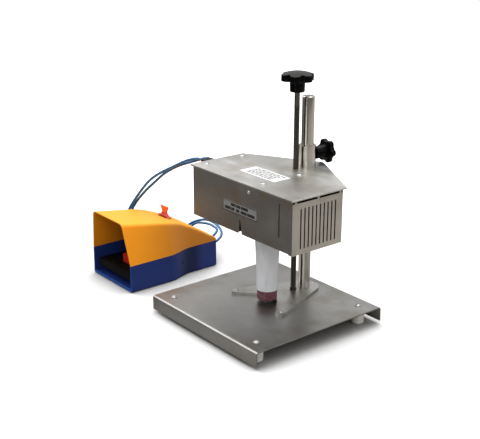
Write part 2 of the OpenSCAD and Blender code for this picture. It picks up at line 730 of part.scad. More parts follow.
// Ribbed foot plate, hinged at the rear, with a slot for the toe latch
module treadle() pedal() color("#171717") difference() {
    union() {
        box([-66, -238, 30], [66, -142, 38]);
        box([-60, -142, 30], [60, -100, 38]);
        box([-66, -238, 22], [66, -230, 38]);
        for (k = [0:7]) box([-64, -236 + 11 * k, 38], [64, -233 + 11 * k, 40]);
        for (s = [-1, 1]) translate([0, pivot[0], pivot[1]]) rod_x(7, s > 0 ? 40 : -60,
            s > 0 ? 60 : -40);
    }
    translate([0, pivot[0], pivot[1]]) rod_x(3 + running, -70, 70);
    box([-40.3, pivot[0] - 8, 20], [40.3, pivot[0] + 10, 50]);
    box([-21, latch_y - 7, 20], [21, latch_y + 9, 50]);
    translate([0, latch_y - 1, 34]) rod_x(1.5 + running, -24.3, 24.3);
}

module toe_latch() pedal() color("#c8281c") {
    box([-20, latch_y - 3, 24], [20, latch_y + 1, 54]);
    box([-20, latch_y - 3, 50], [20, latch_y + 7, 54]);
    translate([0, latch_y - 1, 34]) rod_x(1.5, -24, 24);
}

// A coil of wire: turns rise from z0 to z1
function coil_point(t, r, turns, z0, z1) =
    [r * cos(360 * turns * t), r * sin(360 * turns * t), z0 + (z1 - z0) * t];

module treadle_spring() pedal() color("#b5b5b5") translate([0, -172, 0])
    sweep([for (k = [0:60]) coil_point(k / 60, 7, 5, 6, 29)], 0.8, 8);

module valve_body() pedal() color("#4a4d52") {
    difference() {
        box([-22, -150, wall + 2], [22, -118, 24]);
        translate([0, plunger_y, 8]) cylinder(r = 4 + running, h = 20);
    }
    for (x = valve_port_x) translate([x, 0, 14]) rod_y(4, -118, -106);
}

module valve_plunger() pedal() color("#d8d8d6") translate([0, plunger_y, 14])
    cylinder(r = 4, h = 15.1);

// Lever that stands out of the cover's top and locks the foot valve
module lock_lever() pedal() color("#e8561e") {
    translate([0, lever_y, lever_pivot_z]) {
        rod_x(3, -18.5, 18.5);
        box([-11, -2, 0], [11, 2, 14]);
        rotate([90, 0, 0]) translate([0, 0, -2]) linear_extrude(4) polygon([[-22, 11.5],
            [22, 11.5], [11, 17], [9, 23], [13, 30], [15, 36], [-15, 36], [-13, 30], [-9, 23],
            [-11, 17]]);
        box([-8, -2.5, -24], [8, 2.5, 0]);
    }
}

// Push-in hose fittings in the rear wall
module pedal_ports() pedal() color("#2c2f33") for (x = port_x) translate([x, 0, port_z])
    difference() {
        union() {
            rod_y(5, -10, port_len - 4);
            rod_y(7, 0, 6);
            rod_y(5.5, 6, port_len);
        }
        rod_y(2.2, -11, port_len - 6);
    }

// ---- Hoses ----
// A smooth point between b and c, at t from 0 to 1
function spline(a, b, c, d, t) = 0.5 * (2 * b + (c - a) * t
    + (2 * a - 5 * b + 4 * c - d) * t * t + (3 * b - a - 3 * c + d) * t * t * t);

// Points about gap apart on a smooth line through p
function smooth(p, gap) = let (n = len(p)) concat(
    [for (k = [0:n - 2]) let (steps = max(1, round(norm(p[k + 1] - p[k]) / gap)))
        for (j = [0:steps - 1]) spline(p[max(0, k - 1)], p[k], p[k + 1],
            p[min(n - 1, k + 2)], j / steps)],
    [p[n - 1]]);

function unit(v) = v / norm(v);

// Rings of a swept tube: each frame is carried on from the one before
function carried(path, k) = k == 0
    ? let (t = unit(path[1] - path[0])) unit(cross(t, abs(t[2]) < 0.9 ? [0, 0, 1] : [0, 1, 0]))
    : let (t = tangent(path, k), u = carried(path, k - 1)) unit(u - t * (u * t));

function tangent(path, k) = unit(path[min(len(path) - 1, k + 1)] - path[max(0, k - 1)]);

module sweep(path, r, sides) loft([for (k = [0:len(path) - 1]) let (t = tangent(path, k),
    u = carried(path, k), v = cross(t, u))
    [for (j = [0:sides - 1]) let (a = -360 * j / sides) path[k] + r * (cos(a) * u + sin(a) * v)]]);

module hose_a() machine() color("#1f6fb0") sweep(smooth(route_a, ring_gap), hose_r, 8);

module hose_b() machine() color("#1f6fb0") sweep(smooth(route_b, ring_gap), hose_r, 8);

base_plate();
rubber_feet();
base_screws();
fixture_plate();
fixture_screws();
column();
column_bolt();
thrust_bush();
tube_nest();
tube_cap();
sample_tube();
top_plate();
head_screws();
front_panel();
side_panel();
rear_cover();
bottom_plate();
column_sleeve();
screw_nut();
front_label();
top_label();
jaw_cheeks();
guide_rods();
air_cylinders();
transformer();
control_board();
air_valve();
power_inlet();
air_fittings();
leadscrew();
height_knob();
clamp_screw();
star_knob();
right_jaw_bar();
right_rod();
right_pad();
right_ribbon();
left_jaw_bar();
left_rod();
left_pad();
left_ribbon();
cutter_actuator();
cutter_blade();
cutter_holder();
power_switch();
time_dial();
pedal_base();
pedal_cover();
pedal_pads();
port_tubes();
treadle_pin();
treadle();
treadle_spring();
valve_body();
valve_plunger();
toe_latch();
lock_lever();
pedal_ports();
hose_a();
hose_b();
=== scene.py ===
"""Looks of the bench tube sealer and its foot valve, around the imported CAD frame.

Lengths are metres in the frame's own axes: +Z up, the bench at z = 0. Points written in
millimetres go through machine() or pedal(), whose origins are read from the CAD nodes.
"""

import json
import math

import bmesh
import bpy
import numpy as np
from mathutils import Matrix, Vector

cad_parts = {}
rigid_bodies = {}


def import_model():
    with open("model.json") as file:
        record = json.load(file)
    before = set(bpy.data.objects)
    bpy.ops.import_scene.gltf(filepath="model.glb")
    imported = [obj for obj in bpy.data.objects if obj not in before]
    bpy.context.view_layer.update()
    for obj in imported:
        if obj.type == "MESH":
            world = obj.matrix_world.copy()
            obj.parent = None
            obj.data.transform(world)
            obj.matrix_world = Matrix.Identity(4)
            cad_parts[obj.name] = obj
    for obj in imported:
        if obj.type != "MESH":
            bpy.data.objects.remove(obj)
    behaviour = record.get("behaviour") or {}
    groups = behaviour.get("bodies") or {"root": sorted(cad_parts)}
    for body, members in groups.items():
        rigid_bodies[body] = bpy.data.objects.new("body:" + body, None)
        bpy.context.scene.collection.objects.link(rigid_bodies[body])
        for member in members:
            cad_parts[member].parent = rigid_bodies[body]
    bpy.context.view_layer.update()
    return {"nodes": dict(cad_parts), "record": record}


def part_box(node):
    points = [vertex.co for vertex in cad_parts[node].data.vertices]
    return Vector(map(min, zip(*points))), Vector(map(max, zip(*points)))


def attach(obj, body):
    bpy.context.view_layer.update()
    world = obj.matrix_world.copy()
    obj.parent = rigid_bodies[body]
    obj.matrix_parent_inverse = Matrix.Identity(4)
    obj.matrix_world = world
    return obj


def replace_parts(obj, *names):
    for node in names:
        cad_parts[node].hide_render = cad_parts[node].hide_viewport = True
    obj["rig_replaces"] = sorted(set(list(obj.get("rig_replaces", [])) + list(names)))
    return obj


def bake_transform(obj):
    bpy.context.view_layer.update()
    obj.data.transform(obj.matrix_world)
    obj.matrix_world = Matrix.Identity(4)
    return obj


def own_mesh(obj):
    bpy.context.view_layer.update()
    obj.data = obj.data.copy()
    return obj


MM = 0.001
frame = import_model()
SLOT_OF = {s["node"]: s["material_slot"] for s in frame["record"]["subparts"]}


# ---------------------------------------------------------------- places
def centre(node):
    low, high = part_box(node)
    return (low + high) / 2


def size(node):
    low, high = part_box(node)
    return high - low


COLUMN_AXIS = centre("column")
PEDAL_REAR = Vector((centre("pedal_base").x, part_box("pedal_base")[1].y, 0))


def machine(x, y, z):
    """A point in the machine's own millimetres: x = 0 its middle, y = 0 the column's axis."""
    return Vector((COLUMN_AXIS.x + x * MM, COLUMN_AXIS.y + y * MM, z * MM))


def pedal(x, y, z):
    """A point in the foot valve's own millimetres: x = 0 its middle, y = 0 its rear wall."""
    return Vector((PEDAL_REAR.x + x * MM, PEDAL_REAR.y + y * MM, z * MM))


# ---------------------------------------------------------------- camera
def make_camera():
    azimuth, elevation, roll = math.radians(51.18), math.radians(19.27), math.radians(0.13)
    back = Vector((math.sin(azimuth) * math.cos(elevation),
                   -math.cos(azimuth) * math.cos(elevation), math.sin(elevation)))
    data = bpy.data.cameras.new("camera")
    data.lens, data.sensor_width = 72.79, 36
    data.clip_start, data.clip_end = 0.05, 60
    camera = bpy.data.objects.new("camera", data)
    bpy.context.scene.collection.objects.link(camera)
    camera.location = machine(1390.2, -1292.2, 852.8)
    camera.rotation_mode = "QUATERNION"
    turn = (-back).to_track_quat("-Z", "Y").to_matrix().to_4x4() @ Matrix.Rotation(roll, 4, "Z")
    camera.rotation_quaternion = turn.to_quaternion()
    bpy.context.scene.camera = camera


make_camera()


# ---------------------------------------------------------------- materials
class Surface:
    """A Principled material whose details are worked out from the piece's own coordinates."""

    def __init__(self, name, roughness, metallic=0.0, **sockets):
        self.material = bpy.data.materials.new(name)
        self.material.use_nodes = True
        self.tree = self.material.node_tree
        self.shader = self.tree.nodes["Principled BSDF"]
        self.shader.inputs["Roughness"].default_value = roughness
        self.shader.inputs["Metallic"].default_value = metallic
        for socket, value in sockets.items():
            self.shader.inputs[socket.replace("_", " ")].default_value = value
        self.place = self.tree.nodes.new("ShaderNodeTexCoord").outputs["Object"]
        self.normal = None

    def link(self, a, b):
        self.tree.links.new(a, b)

    def noise(self, size_mm, stretch=(1, 1, 1), detail=3, roughness=0.5):
        """Noise from 0 to 1, with cells of about size_mm, longer where stretch is above 1."""
        scale = self.tree.nodes.new("ShaderNodeMapping")
        scale.inputs["Scale"].default_value = [1 / (size_mm * MM * s) for s in stretch]
        self.link(self.place, scale.inputs["Vector"])
        noise = self.tree.nodes.new("ShaderNodeTexNoise")
        noise.inputs["Scale"].default_value = 1
        noise.inputs["Detail"].default_value = detail
        noise.inputs["Roughness"].default_value = roughness
        self.link(scale.outputs["Vector"], noise.inputs["Vector"])
        return noise.outputs["Fac"]

    def speckle(self, size_mm):
        """Random grains, each with its own value from 0 to 1."""
        cells = self.tree.nodes.new("ShaderNodeTexVoronoi")
        cells.inputs["Scale"].default_value = 1 / (size_mm * MM)
        self.link(self.place, cells.inputs["Vector"])
        split = self.tree.nodes.new("ShaderNodeSeparateColor")
        self.link(cells.outputs["Color"], split.inputs["Color"])
        return split.outputs["Red"]

    def facing(self, name):
        """How far the surface faces along +X, +Y or +Z, from -1 to 1."""
        split = self.tree.nodes.new("ShaderNodeSeparateXYZ")
        self.link(self.tree.nodes.new("ShaderNodeNewGeometry").outputs["Normal"], split.inputs["Vector"])
        return split.outputs[name]

    def axis(self, name):
        split = self.tree.nodes.new("ShaderNodeSeparateXYZ")
        self.link(self.place, split.inputs["Vector"])
        return split.outputs[name]

    def math(self, operation, a, b=0.5, clamp=False):
        node = self.tree.nodes.new("ShaderNodeMath")
        node.operation, node.use_clamp = operation, clamp
        for socket, value in zip(node.inputs, (a, b)):
            if isinstance(value, (int, float)):
                socket.default_value = value
            else:
                self.link(value, socket)
        return node.outputs["Value"]

    def between(self, value, low, high, to_low=0.0, to_high=1.0):
        """value carried smoothly from the range low to high onto another range."""
        node = self.tree.nodes.new("ShaderNodeMapRange")
        node.interpolation_type = "SMOOTHSTEP"
        self.link(value, node.inputs["Value"])
        for socket, number in (("From Min", low), ("From Max", high),
                               ("To Min", to_low), ("To Max", to_high)):
            node.inputs[socket].default_value = number
        return node.outputs["Result"]

    def ramp(self, value, *stops):
        node = self.tree.nodes.new("ShaderNodeValToRGB")
        while len(node.color_ramp.elements) < len(stops):
            node.color_ramp.elements.new(0.5)
        for element, (position, colour) in zip(node.color_ramp.elements, stops):
            element.position = position
            element.color = (*colour, 1)
        self.link(value, node.inputs["Fac"])
        return node.outputs["Color"]

    def mix(self, share, a, b):
        node = self.tree.nodes.new("ShaderNodeMix")
        node.data_type = "RGBA"
        ends = [s for s in node.inputs if s.type == "RGBA"]
        if isinstance(share, (int, float)):
            node.inputs["Factor"].default_value = share
        else:
            self.link(share, node.inputs["Factor"])
        for socket, value in zip(ends, (a, b)):
            if isinstance(value, tuple):
                socket.default_value = (*value, 1)
            else:
                self.link(value, socket)
        return next(s for s in node.outputs if s.type == "RGBA")

    def colour(self, output):
        self.link(output, self.shader.inputs["Base Color"])
        return self

    def roughness(self, value, low, high):
        self.link(self.between(value, 0.25, 0.75, low, high), self.shader.inputs["Roughness"])
        return self

    def bump(self, height, depth_mm, strength=1.0):
        node = self.tree.nodes.new("ShaderNodeBump")
        node.inputs["Strength"].default_value = strength
        node.inputs["Distance"].default_value = depth_mm * MM
        self.link(height, node.inputs["Height"])
        if self.normal is not None:
            self.link(self.normal, node.inputs["Normal"])
        self.normal = node.outputs["Normal"]
        self.link(self.normal, self.shader.inputs["Normal"])
        return self


def tint(colour, factor):
    return tuple(min(1.0, c * factor) for c in colour)


def satin_steel(name, colour, warm, grain=(40, 1, 1), rough=(0.3, 0.42), patch_mm=70):
    """Stainless sheet: fine satin grain, soft cloudy patches, faint handling marks."""
    s = Surface(name, rough[0], 1.0, Anisotropic=0.35)
    cloud = s.noise(patch_mm, detail=2, roughness=0.6)
    smear = s.noise(18, (3, 1, 2), detail=4)
    fine = s.noise(0.35, grain, detail=2)
    base = s.ramp(cloud, (0.3, tint(warm, 0.92)), (0.5, colour), (0.72, tint(colour, 1.08)))
    worn = s.mix(s.between(smear, 0.5, 0.75, 0, 0.22), base, tint(colour, 1.3))
    s.colour(s.mix(s.between(fine, 0.35, 0.65, 0, 0.16), worn, tint(warm, 0.6)))
    s.roughness(s.math("ADD", s.math("MULTIPLY", smear, 0.6), s.math("MULTIPLY", fine, 0.4)), *rough)
    return s.bump(fine, 0.012, 0.5).bump(cloud, 0.12, 0.12).material


def turned_steel(name, colour, rough=(0.14, 0.24)):
    """Ground bar: fine rings round it and a few drawn scratches along it."""
    s = Surface(name, rough[0], 1.0)
    rings = s.noise(0.3, (30, 30, 1), detail=2)
    drawn = s.noise(1.2, (1, 1, 60), detail=3)
    s.colour(s.mix(s.between(drawn, 0.4, 0.75, 0, 0.18), colour, tint(colour, 0.75)))
    return s.roughness(drawn, *rough).bump(rings, 0.006, 0.4).bump(drawn, 0.01, 0.3).material


def bright_steel(name, colour):
    """Plated fasteners: bright, with small marks from the driver."""
    s = Surface(name, 0.2, 1.0)
    marks = s.noise(1.1, detail=4)
    s.colour(s.ramp(marks, (0.35, tint(colour, 0.7)), (0.6, colour)))
    return s.roughness(marks, 0.26, 0.42).bump(marks, 0.03, 0.25).material


def moulded(name, colour, rough=(0.34, 0.5), **sockets):
    """Injection-moulded plastic: fine spark texture, slight flow tone and rubbed patches."""
    s = Surface(name, rough[0], 0.0, **sockets)
    flow = s.noise(45, (1, 1, 2), detail=2)
    grain = s.noise(0.6, detail=3, roughness=0.7)
    rubbed = s.noise(9, detail=5, roughness=0.65)
    base = s.ramp(flow, (0.3, tint(colour, 0.88)), (0.7, tint(colour, 1.12)))
    s.colour(s.mix(s.between(grain, 0.35, 0.7, 0, 0.12), base, tint(colour, 0.75)))
    s.roughness(rubbed, *rough)
    return s.bump(grain, 0.03, 0.5).bump(rubbed, 0.05, 0.12).material


def rubbery(name, colour, rough=(0.55, 0.75)):
    s = Surface(name, rough[0], 0.0)
    dust = s.noise(6, detail=5, roughness=0.7)
    grain = s.noise(0.5, detail=2)
    s.colour(s.ramp(dust, (0.35, colour), (0.75, tint(colour, 1.35))))
    return s.roughness(dust, *rough).bump(grain, 0.04, 0.5).material


def machined(name, colour, rough=(0.25, 0.4), metal=1.0):
    """Milled block: close parallel cutter marks with a soft cloudy tone."""
    s = Surface(name, rough[0], metal)
    cutter = s.noise(0.5, (1, 25, 25), detail=2)
    cloud = s.noise(12, detail=3)
    s.colour(s.mix(s.between(cutter, 0.35, 0.65, 0, 0.3),
                   s.ramp(cloud, (0.3, tint(colour, 0.88)), (0.7, tint(colour, 1.1))),
                   tint(colour, 0.7)))
    return s.roughness(cutter, *rough).bump(cutter, 0.01, 0.5).material


def speckled_cap(name):
    """Maroon cap with pale and dark grains pressed into it."""
    s = Surface(name, 0.55)
    grains, fine = s.speckle(0.9), s.noise(0.7, detail=3)
    s.colour(s.ramp(grains, (0.0, (0.03, 0.008, 0.012)), (0.45, (0.095, 0.018, 0.032)),
                    (0.78, (0.17, 0.045, 0.065)), (0.95, (0.36, 0.22, 0.22))))
    return s.roughness(fine, 0.45, 0.65).bump(grains, 0.12, 0.5).bump(fine, 0.05, 0.4).material


def tube_film(name):
    """Soft white tube laminate: low sheen, faint draw lines and handling dimples."""
    s = Surface(name, 0.32, 0.0, Subsurface_Weight=0.08, Coat_Weight=0.15, Coat_Roughness=0.25)
    s.shader.inputs["Subsurface Radius"].default_value = (0.004, 0.004, 0.004)
    lines = s.noise(0.8, (1, 1, 40), detail=2)
    dimples = s.noise(22, (1, 1, 2), detail=2)
    s.colour(s.ramp(dimples, (0.3, (0.60, 0.61, 0.635)), (0.7, (0.70, 0.71, 0.73))))
    return s.roughness(dimples, 0.26, 0.4).bump(lines, 0.02, 0.25).bump(dimples, 0.9, 0.25).material


def hose_blue(name):
    """Polyurethane air hose: deep blue with a soft shine and faint extrusion lines."""
    s = Surface(name, 0.24, 0.0, Coat_Weight=0.2, Coat_Roughness=0.2)
    tone = s.noise(30, detail=2)
    fine = s.noise(0.8, detail=2)
    s.colour(s.ramp(tone, (0.3, (0.004, 0.085, 0.22)), (0.7, (0.007, 0.14, 0.33))))
    return s.roughness(tone, 0.2, 0.34).bump(fine, 0.02, 0.3).material


def hood_yellow(name):
    """Yellow moulded guard with painted light: lighter where it faces up, and a painted shade, deeper and
    browner, on its sides towards the rear.
    """
    s = Surface(name, 0.34, 0.0, Specular_IOR_Level=0.3)
    grain, rubbed = s.noise(0.6, detail=3, roughness=0.7), s.noise(9, detail=5, roughness=0.65)
    # Painted light: faces that point up take a lighter yellow.
    painted_top_light = s.between(s.facing("Z"), 0.45, 0.92)
    # Painted shade: the sides turn darker and browner towards the rear.
    rear = s.between(s.axis("Y"), *(v * MM for v in (-150, 60)))
    side = s.mix(rear, (0.93, 0.32, 0.010), (0.46, 0.16, 0.010))
    s.colour(s.mix(s.between(grain, 0.35, 0.7, 0, 0.1), s.mix(painted_top_light, side, (0.95, 0.44, 0.03)),
                   (0.6, 0.2, 0.01)))
    s.roughness(rubbed, 0.3, 0.42)
    return s.bump(grain, 0.03, 0.5).bump(rubbed, 0.05, 0.12).material


def base_blue(name):
    """Blue moulded base with painted light: a painted highlight on the faces that look to the front, and a
    painted shade on the stretch where its side turns in.
    """
    s = Surface(name, 0.36, 0.0, Specular_IOR_Level=0.3)
    grain, rubbed = s.noise(0.6, detail=3, roughness=0.7), s.noise(9, detail=5, roughness=0.65)
    along = s.facing("Y")
    run = s.axis("Y")
    # Painted shade: a darker blue across the stretch where the side turns in.
    painted_jog_shade = s.math("MULTIPLY", s.between(run, -25 * MM, 12 * MM), s.between(run, 30 * MM, 62 * MM, 1, 0))
    side = s.mix(painted_jog_shade, (0.013, 0.032, 0.165), (0.003, 0.010, 0.06))
    # Painted highlight: faces that look to the front get a brighter blue.
    tone = s.mix(s.between(along, -0.9, -0.6), (0.010, 0.085, 0.38), side)
    s.colour(s.mix(s.between(grain, 0.35, 0.7, 0, 0.12), tone, (0.006, 0.016, 0.08)))
    s.roughness(rubbed, 0.3, 0.45)
    return s.bump(grain, 0.03, 0.5).bump(rubbed, 0.05, 0.12).material


def lever_orange(name):
    """Orange-red moulding, deeper red down at its saddle."""
    s = Surface(name, 0.34)
    grain, rubbed = s.noise(0.6, detail=3, roughness=0.7), s.noise(4, detail=4)
    s.colour(s.mix(s.between(s.axis("Z"), 0.131, 0.142), (0.55, 0.022, 0.010), (0.85, 0.115, 0.02)))
    s.roughness(rubbed, 0.28, 0.4)
    return s.bump(grain, 0.03, 0.5).bump(rubbed, 0.05, 0.15).material


def knob_black(name):
    """Glossy black thermoset: deep black sides, and lighter on what faces up: a painted sheen, mottled by
    dust.
    """
    s = Surface(name, 0.22, 0.0, Specular_IOR_Level=0.07)
    grain, dust = s.noise(0.9, detail=3), s.noise(7, detail=5, roughness=0.7)
    # Painted sheen on faces that point up, broken up by dust.
    top_sheen_and_dust = s.math("MULTIPLY", s.between(s.facing("Z"), 0.8, 0.97), s.between(dust, 0.2, 0.6, 0.6, 1))
    s.colour(s.mix(top_sheen_and_dust, (0.0012, 0.0012, 0.0012), (0.026, 0.026, 0.025)))
    s.roughness(dust, 0.15, 0.28)
    return s.bump(grain, 0.012, 0.4).bump(dust, 0.04, 0.12).material


def printed(name, colour, rough=(0.35, 0.5), metal=0.0):
    s = Surface(name, rough[0], metal)
    haze = s.noise(8, detail=4)
    s.colour(s.ramp(haze, (0.3, tint(colour, 0.93)), (0.7, tint(colour, 1.04))))
    return s.roughness(haze, *rough).bump(haze, 0.03, 0.2).material


MATERIALS = {
    "base_steel": satin_steel("base_steel", (0.34, 0.335, 0.325), (0.30, 0.28, 0.25)),
    "plate_steel": satin_steel("plate_steel", (0.42, 0.415, 0.40), (0.38, 0.36, 0.32), patch_mm=30),
    "lid_steel": satin_steel("lid_steel", (0.56, 0.55, 0.53), (0.51, 0.48, 0.43), (1, 1, 1), (0.32, 0.45)),
    "front_steel": satin_steel("front_steel", (0.37, 0.36, 0.345), (0.42, 0.34, 0.26)),
    "side_steel": satin_steel("side_steel", (0.42, 0.395, 0.355), (0.38, 0.34, 0.29), (1, 40, 1)),
    "ground_steel": turned_steel("ground_steel", (0.50, 0.475, 0.43), (0.09, 0.16)),
    "screw_steel": bright_steel("screw_steel", (0.50, 0.49, 0.475)),
    "thread_steel": turned_steel("thread_steel", (0.115, 0.10, 0.086), (0.28, 0.42)),
    "bush_bronze": machined("bush_bronze", (0.07, 0.055, 0.04)),
    "nest_plastic": moulded("nest_plastic", (0.018, 0.017, 0.017)),
    "cap_plastic": speckled_cap("cap_plastic"),
    "tube_plastic": tube_film("tube_plastic"),
    "label_metal": printed("label_metal", (0.36, 0.36, 0.355), (0.3, 0.42), 0.6),
    "label_film": printed("label_film", (0.72, 0.72, 0.72)),
    "machined_aluminium": machined("machined_aluminium", (0.55, 0.56, 0.58)),
    "transformer_iron": machined("transformer_iron", (0.20, 0.12, 0.07), (0.45, 0.6), 0.3),
    "board": moulded("board", (0.02, 0.13, 0.05), (0.3, 0.45)),
    "valve_body": moulded("valve_body", (0.06, 0.065, 0.075), (0.35, 0.5)),
    "black_plastic": moulded("black_plastic", (0.008, 0.008, 0.009), Specular_IOR_Level=0.35),
    "knob_plastic": knob_black("knob_plastic"),
    "silicone": rubbery("silicone", (0.42, 0.09, 0.05)),
    "ribbon_alloy": machined("ribbon_alloy", (0.26, 0.22, 0.19)),
    "blade_steel": machined("blade_steel", (0.62, 0.64, 0.66), (0.12, 0.22)),
    "foot_rubber": rubbery("foot_rubber", (0.66, 0.645, 0.60), (0.45, 0.6)),
    "pedal_blue": base_blue("pedal_blue"),
    "pedal_yellow": hood_yellow("pedal_yellow"),
    "black_rubber": rubbery("black_rubber", (0.014, 0.014, 0.014)),
    "treadle_plastic": moulded("treadle_plastic", (0.002, 0.002, 0.002), (0.35, 0.55),
                               Specular_IOR_Level=0.1),
    "spring_steel": bright_steel("spring_steel", (0.5, 0.5, 0.49)),
    "latch_red": moulded("latch_red", (0.62, 0.025, 0.012), (0.28, 0.4)),
    "lever_orange": lever_orange("lever_orange"),
    "fitting_dark": moulded("fitting_dark", (0.018, 0.02, 0.024)),
    "hose_blue": hose_blue("hose_blue"),
}
PRINT_GREY = printed("print_grey", (0.10, 0.10, 0.10))
PRINT_DARK = printed("print_dark", (0.012, 0.012, 0.012))


# ---------------------------------------------------------------- piece building
def body_of(node):
    return next(b for b, nodes in frame["record"]["behaviour"]["bodies"].items() if node in nodes)


def place(mesh, name, node, materials=None, soft_deg=32, blended=False):
    """Turns a mesh into a piece that stands for a CAD node and rides with its body."""
    for material in materials or [MATERIALS[SLOT_OF[node]]]:
        mesh.materials.append(material)
    if soft_deg is not None:
        for polygon in mesh.polygons:
            polygon.use_smooth = True
        mesh.set_sharp_from_angle(angle=math.radians(soft_deg))
    piece = bpy.data.objects.new(name, mesh)
    bpy.context.scene.collection.objects.link(piece)
    if not blended:
        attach(piece, body_of(node))
    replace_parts(piece, node)
    return piece


def bevelled(piece, width_mm, turn_deg):
    bevel = piece.modifiers.new("edges", "BEVEL")
    bevel.width, bevel.segments = width_mm * MM, 2
    bevel.limit_method, bevel.angle_limit = "ANGLE", math.radians(turn_deg)
    bevel.miter_outer = "MITER_ARC"


def dressed(node, bevel_mm=0.4, turn_deg=30, material=None):
    """The CAD node's shape as clean faces with small rounded edges that catch the light."""
    source = bmesh.new()
    source.from_mesh(frame["nodes"][node].data)
    bmesh.ops.remove_doubles(source, verts=source.verts, dist=2e-6)
    if bevel_mm:
        bmesh.ops.dissolve_limit(source, angle_limit=math.radians(0.6), verts=source.verts,
                                 edges=source.edges, delimit={"NORMAL"})
    curved = [any(0.02 < edge.calc_face_angle(0) < 0.55 for edge in face.edges)
              for face in source.faces]
    mesh = bpy.data.meshes.new(node + "_part")
    source.to_mesh(mesh)
    source.free()
    for name in ("custom_normal", "sharp_edge"):
        if name in mesh.attributes:
            mesh.attributes.remove(mesh.attributes[name])
    mesh.materials.clear()
    mesh.polygons.foreach_set("use_smooth", curved)
    mesh.set_sharp_from_angle(angle=math.radians(32))
    piece = place(mesh, node + "_part", node, [material] if material else None, None)
    if bevel_mm:
        bevelled(piece, bevel_mm, turn_deg)
    return piece


def from_rings(name, rings):
    """A mesh skinned over equal rings of points, with a face over each end."""
    count = len(rings[0])
    points = [tuple(p) for ring in rings for p in ring]
    faces = [(j * count + k, j * count + (k + 1) % count,
              (j + 1) * count + (k + 1) % count, (j + 1) * count + k)
             for j in range(len(rings) - 1) for k in range(count)]
    faces.append(tuple(reversed(range(count))))
    faces.append(tuple((len(rings) - 1) * count + k for k in range(count)))
    mesh = bpy.data.meshes.new(name)
    mesh.from_pydata(points, [], faces)
    tidy = bmesh.new()
    tidy.from_mesh(mesh)
    bmesh.ops.remove_doubles(tidy, verts=tidy.verts, dist=1e-6)
    bmesh.ops.recalc_face_normals(tidy, faces=tidy.faces)
    tidy.to_mesh(mesh)
    tidy.free()
    return mesh


def turned(name, profile, place_at, steps=72, axis=Vector((0, 0, 1))):
    """A solid of revolution: profile is (radius, height) in millimetres from place_at, along axis."""
    side = axis.orthogonal().normalized()
    up = axis.cross(side)
    rings = [[place_at + axis * (h * MM) + (side * math.cos(a) + up * math.sin(a)) * (r * MM)
              for a in (2 * math.pi * k / steps for k in range(steps))] for r, h in profile]
    return from_rings(name, rings)


def rounded(profile, radius):
    """The profile with each inner corner rounded by arcs of about that radius."""
    out = [profile[0]]
    for before, corner, after in zip(profile, profile[1:], profile[2:]):
        b, c, a = (Vector(p) for p in (before, corner, after))
        r = min(radius, (b - c).length * 0.45, (a - c).length * 0.45)
        p, q = c + (b - c).normalized() * r, c + (a - c).normalized() * r
        for t in (0, 1 / 3, 2 / 3, 1):
            out.append(tuple((1 - t) ** 2 * p + 2 * t * (1 - t) * c + t * t * q))
    return out + [profile[-1]]


# ---------------------------------------------------------------- air hoses
PORT_Z, HOSE_R = 42, 3
GLAND_X = -204.6
ROUTES = {
    "hose_a": [
        (GLAND_X, -112, 293.5), (-214, -112, 293.5), (-232, -113.5, 290), (-258, -118, 280),
        (-296, -125.5, 259.5), (-334, -134, 238), (-366, -141.5, 214), (-398, -149, 178),
        (-428, -156, 137), (-447, -162, 96), (-456, -161, 58), (-458, -149, 26), (-458, -126, 7.5),
        (-460, -98, 3.4), (-462, -66, 3.3), (-464, -36, 3.4), (-464, -10, 7.5), (-459, 10, 22),
        (-446, 25, 43), (-430, 34, 57), (-410, 39, 62), (-386, 42, 64.5), (-365, 41, 63.5),
        (-350, 37, 62.5), (-342.5, 28, 58), (-343.5, 16, 49), (-350, 6, PORT_Z)],
    "hose_b": [
        (GLAND_X, -98, 293.5), (-214, -98, 292.5), (-231, -100, 286), (-256, -104.5, 276),
        (-292, -112.5, 260.5), (-328, -122, 238.5), (-358, -130, 212.5), (-395, -139, 177.5),
        (-430, -146, 136), (-452, -149, 88), (-465, -144, 49), (-470, -128, 21), (-472, -106, 6.5),
        (-474, -80, 3.3), (-475, -50, 3.4), (-477, -24, 4.5), (-476, 0, 14), (-470, 21, 31),
        (-457, 36, 48), (-436, 45.5, 60), (-411, 50, 67.5), (-386, 50.5, 69), (-358, 47.5, 65.5),
        (-335, 39, 60), (-321.5, 27, 55), (-319.5, 15, 48.5), (-325, 6, PORT_Z)],
}


def smooth_line(points, steps):
    """A smooth line through the points, with that many stretches between each two."""
    p = [Vector(q) for q in points]
    out = []
    for k in range(len(p) - 1):
        a, b, c, d = p[max(0, k - 1)], p[k], p[k + 1], p[min(len(p) - 1, k + 2)]
        for t in (j / steps for j in range(steps)):
            out.append(0.5 * (2 * b + (c - a) * t + (2 * a - 5 * b + 4 * c - d) * t * t
                              + (3 * b - a - 3 * c + d) * t ** 3))
    return out + [p[-1]]


def tube_rings(path, radius, sides):
    """Rings of a swept tube; the frame is carried along the path without twisting."""
    rings, side = [], None
    for k, point in enumerate(path):
        along = (path[min(len(path) - 1, k + 1)] - path[max(0, k - 1)]).normalized()
        side = (along.orthogonal() if side is None else side - along * side.dot(along)).normalized()
        up = along.cross(side)
        rings.append([point + (side * math.cos(a) + up * math.sin(a)) * radius
                      for a in (2 * math.pi * j / sides for j in range(sides))])
    return rings


def make_hoses():
    for node, route in ROUTES.items():
        path = [machine(*p) for p in smooth_line(route, 6)]
        mesh = from_rings(node + "_tube", tube_rings(path, HOSE_R * MM, 20))
        hose = place(mesh, node + "_tube", node, blended=True)
        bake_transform(hose)


make_hoses()


